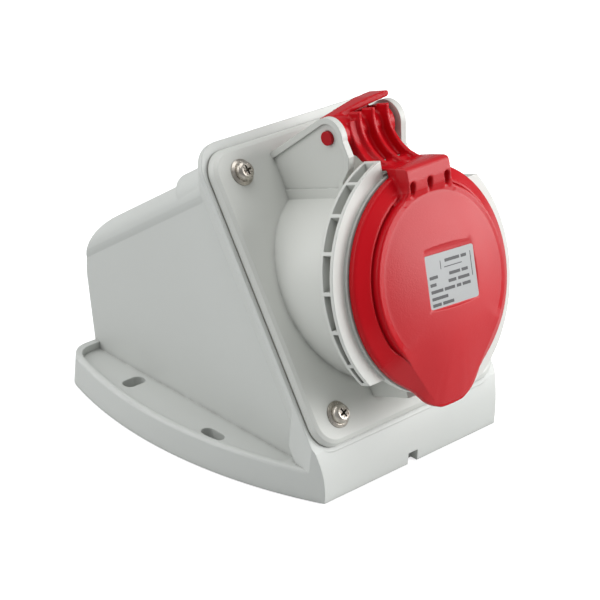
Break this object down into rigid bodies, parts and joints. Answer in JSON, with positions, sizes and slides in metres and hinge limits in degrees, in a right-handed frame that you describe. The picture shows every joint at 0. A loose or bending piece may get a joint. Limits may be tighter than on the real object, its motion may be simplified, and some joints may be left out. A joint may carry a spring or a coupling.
{
  "type": "industrial panel socket",
  "caption": "Wall-mounted angled industrial power socket outlet, light grey box and panel with a round collar and a sprung red lid over a four-contact pin-and-sleeve interface",
  "frame": {"origin": "middle of the flat face that lies on the wall", "axes": "Z is 0 on the wall and +Z points away from it; the socket faces -Y and up, with the hinge of its lid at the top; +Y is the cable entry end; X runs along the hinge pin; box and panel are centred on X = 0, the collar and lid on X = -3.3 mm"},
  "size_m": [0.135, 0.1547, 0.134],
  "materials": {
    "grey_box": "moulded light grey plastic, fine satin",
    "grey_panel": "moulded light grey plastic, fine satin",
    "red_lid": "moulded red plastic, satin gloss",
    "red_pin": "moulded red plastic",
    "seal": "cream foam seal",
    "seal_dark": "black moulded rubber",
    "steel": "stainless steel",
    "spring": "oiled spring steel",
    "carrier": "black moulded plastic",
    "brass": "turned and milled brass",
    "label": "pale satin rating label, plain"
  },
  "bodies": {
    "base": {"wall_box": "grey_box", "panel_gasket": "seal", "socket_panel": "grey_panel", "panel_screw_1": "steel", "panel_washer_1": "steel", "panel_screw_2": "steel", "panel_washer_2": "steel", "panel_screw_3": "steel", "panel_washer_3": "steel", "panel_screw_4": "steel", "panel_washer_4": "steel", "contact_carrier": "carrier", "carrier_screw_1": "steel", "carrier_screw_2": "steel", "contact_l1": "brass", "terminal_screw_l1": "steel", "contact_l2": "brass", "terminal_screw_l2": "steel", "contact_l3": "brass", "terminal_screw_l3": "steel", "contact_earth": "brass", "terminal_screw_earth": "steel", "hinge_pin": "red_pin", "lid_spring": "spring"},
    "lid": {"lid": "red_lid", "lid_gasket": "seal_dark", "lid_label": "label"}
  },
  "joints": [
    {"name": "lid_hinge", "type": "hinge", "parent": "base", "child": "lid", "pos_m": [-0.0033, -0.02476, 0.12226], "axis": [-1, 0, 0], "range_deg": [0, 110], "stiffness_Nm_per_rad": 0.06, "springref_deg": -85.94, "deforming": ["lid_spring"]}
  ]
}
